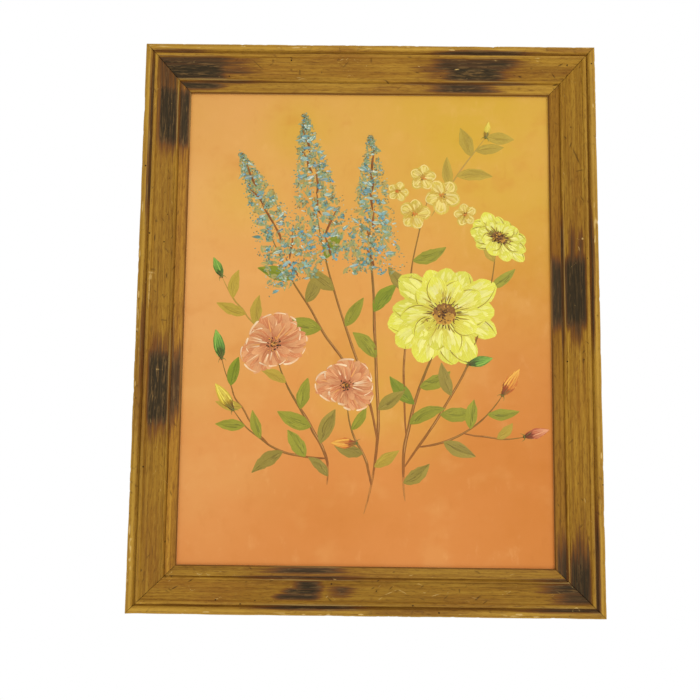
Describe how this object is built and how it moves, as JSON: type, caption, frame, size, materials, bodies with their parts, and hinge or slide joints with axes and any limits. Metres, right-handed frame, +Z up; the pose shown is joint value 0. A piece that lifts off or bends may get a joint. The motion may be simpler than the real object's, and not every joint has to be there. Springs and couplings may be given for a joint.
{
  "type": "framed oil painting",
  "caption": "Framed oil painting: canvas board with a spray of garden flowers on a warm ground, in a mitred, burnt and distressed wood frame with a sawtooth hanger",
  "frame": {"origin": "middle of the back face of the sawtooth hanger's toothed strip, where the frame hangs on its wall nail", "axes": "+Z up, the picture faces -Y, +X is on the right of someone who looks at the picture"},
  "size_m": [0.4242, 0.0381, 0.5257],
  "materials": {
    "frame_wood": "golden brown stained and waxed softwood, scorched in patches, wire-brushed and distressed",
    "canvas_board": "cotton canvas glued on board, thin warm orange oil ground, satin",
    "oil_paint": "thick dried oil paint with brush marks, satin",
    "steel": "thin bright zinc-plated steel, slightly dulled"
  },
  "bodies": {
    "root": {"rail_top": "frame_wood", "rail_right": "frame_wood", "rail_bottom": "frame_wood", "rail_left": "frame_wood", "canvas_board": "canvas_board", "sawtooth_hanger": "steel", "hanger_nail_left": "steel", "hanger_nail_right": "steel", "point_top_a": "steel", "point_top_b": "steel", "point_right_a": "steel", "point_right_b": "steel", "point_bottom_a": "steel", "point_bottom_b": "steel", "point_left_a": "steel", "point_left_b": "steel"}
  },
  "joints": []
}
